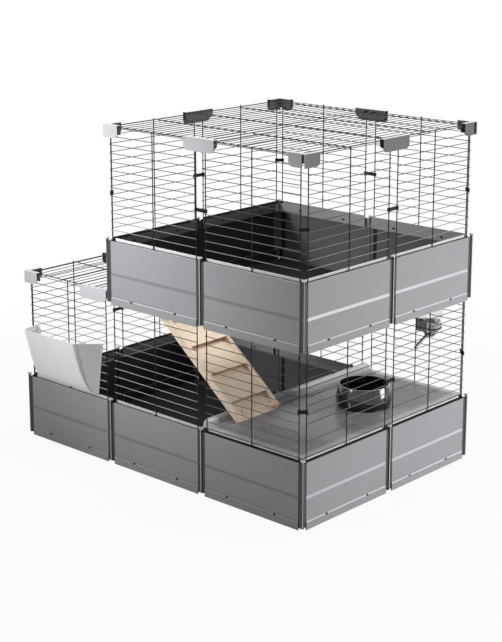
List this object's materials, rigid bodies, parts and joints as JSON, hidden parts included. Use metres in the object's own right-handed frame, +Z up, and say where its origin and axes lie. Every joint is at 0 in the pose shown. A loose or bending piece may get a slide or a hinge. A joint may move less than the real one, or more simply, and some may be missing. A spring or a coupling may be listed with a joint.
{
  "type": "small animal cage",
  "caption": "Two-storey modular small animal cage: plastic wall panels, wire grilles and roof lids, half floor, wooden ramp, hay feeder, bowl and bottle.",
  "frame": {"origin": "on the ground, in the middle of the lower storey", "axes": "+X along the long side towards the two-storey end, +Y to the rear, +Z up"},
  "size_m": [1.0752, 0.865, 0.965],
  "materials": {
    "panel_grey": "satin moulded plastic",
    "post_grey": "satin moulded plastic",
    "wire_black": "dark coated wire",
    "clip_black": "moulded plastic",
    "bracket_grey": "satin moulded plastic",
    "floor_black": "matt sheet",
    "platform_grey": "glossy, ribbed",
    "feeder_white": "glossy",
    "pine": "bare pine",
    "screw_steel": "plain steel",
    "bowl_black": "high gloss",
    "bottle_clear": "clear",
    "cap_grey": "moulded plastic",
    "spout_steel": "polished tube",
    "holder_black": "dark coated steel"
  },
  "bodies": {
    "cage": {"lower_panel_front_left": "panel_grey", "lower_grille_front_left": "wire_black", "lower_panel_front_right": "panel_grey", "lower_grille_front_right": "wire_black", "lower_panel_rear_left": "panel_grey", "lower_grille_rear_left": "wire_black", "lower_panel_rear_right": "panel_grey", "lower_grille_rear_right": "wire_black", "lower_panel_left_front": "panel_grey", "lower_grille_left_front": "wire_black", "lower_panel_left_rear": "panel_grey", "lower_grille_left_rear": "wire_black", "lower_panel_right_front": "panel_grey", "lower_grille_right_front": "wire_black", "lower_panel_right_rear": "panel_grey", "lower_grille_right_rear": "wire_black", "lower_panel_front_middle": "panel_grey", "lower_grille_front_middle": "wire_black", "lower_panel_rear_middle": "panel_grey", "lower_grille_rear_middle": "wire_black", "upper_panel_front_left": "panel_grey", "upper_grille_front_left": "wire_black", "upper_panel_front_right": "panel_grey", "upper_grille_front_right": "wire_black", "upper_panel_rear_left": "panel_grey", "upper_grille_rear_left": "wire_black", "upper_panel_rear_right": "panel_grey", "upper_grille_rear_right": "wire_black", "upper_panel_left_front": "panel_grey", "upper_grille_left_front": "wire_black", "upper_panel_left_rear": "panel_grey", "upper_grille_left_rear": "wire_black", "upper_panel_right_front": "panel_grey", "upper_grille_right_front": "wire_black", "upper_panel_right_rear": "panel_grey", "upper_grille_right_rear": "wire_black", "joint_posts": "post_grey", "grille_clips": "clip_black", "corner_brackets": "bracket_grey", "straight_brackets": "bracket_grey", "lid_cradles": "clip_black", "lower_floor_sheets": "floor_black", "upper_floor_left": "floor_black", "upper_floor_right": "floor_black", "floor_joiners": "floor_black", "platform": "platform_grey", "bottle_holder": "holder_black"},
    "lower_lid": {"lower_lid": "wire_black"},
    "upper_lid_left": {"upper_lid_left": "wire_black"},
    "upper_lid_right": {"upper_lid_right": "wire_black"},
    "ramp": {"ramp_rails": "pine", "ramp_board": "pine", "ramp_treads": "pine", "ramp_screws": "screw_steel"},
    "feeder": {"hay_feeder": "feeder_white"},
    "bowl": {"bowl": "bowl_black"},
    "bottle": {"bottle_body": "bottle_clear", "bottle_cap": "cap_grey", "bottle_spout": "spout_steel"},
    "ball": {"spout_ball": "spout_steel"}
  },
  "joints": [
    {"name": "lower_lid_swing", "type": "hinge", "parent": "cage", "child": "lower_lid", "pos_m": [-0.1908, 0, 0.494], "axis": [0, 1, 0], "range_deg": [0, 90]},
    {"name": "upper_lid_left_swing", "type": "hinge", "parent": "cage", "child": "upper_lid_left", "pos_m": [-0.1632, 0, 0.959], "axis": [0, -1, 0], "range_deg": [0, 90]},
    {"name": "upper_lid_right_swing", "type": "hinge", "parent": "cage", "child": "upper_lid_right", "pos_m": [0.5172, 0, 0.959], "axis": [0, 1, 0], "range_deg": [0, 90]},
    {"name": "ramp_swing", "type": "hinge", "parent": "cage", "child": "ramp", "pos_m": [-0.09101, -0.19, 0.4723], "axis": [0, -1, 0], "range_deg": [0, 25]},
    {"name": "feeder_lift", "type": "slide", "parent": "cage", "child": "feeder", "axis": [0, 0, 1], "range_m": [0, 0.012]},
    {"name": "bowl_lift", "type": "slide", "parent": "cage", "child": "bowl", "axis": [0, 0, 1], "range_m": [0, 0.08]},
    {"name": "bottle_lift", "type": "slide", "parent": "cage", "child": "bottle", "axis": [0, 0, 1], "range_m": [0, 0.01]},
    {"name": "ball_push", "type": "slide", "parent": "bottle", "child": "ball", "axis": [0, 0.9063, 0.4226], "range_m": [0, 0.002]}
  ]
}
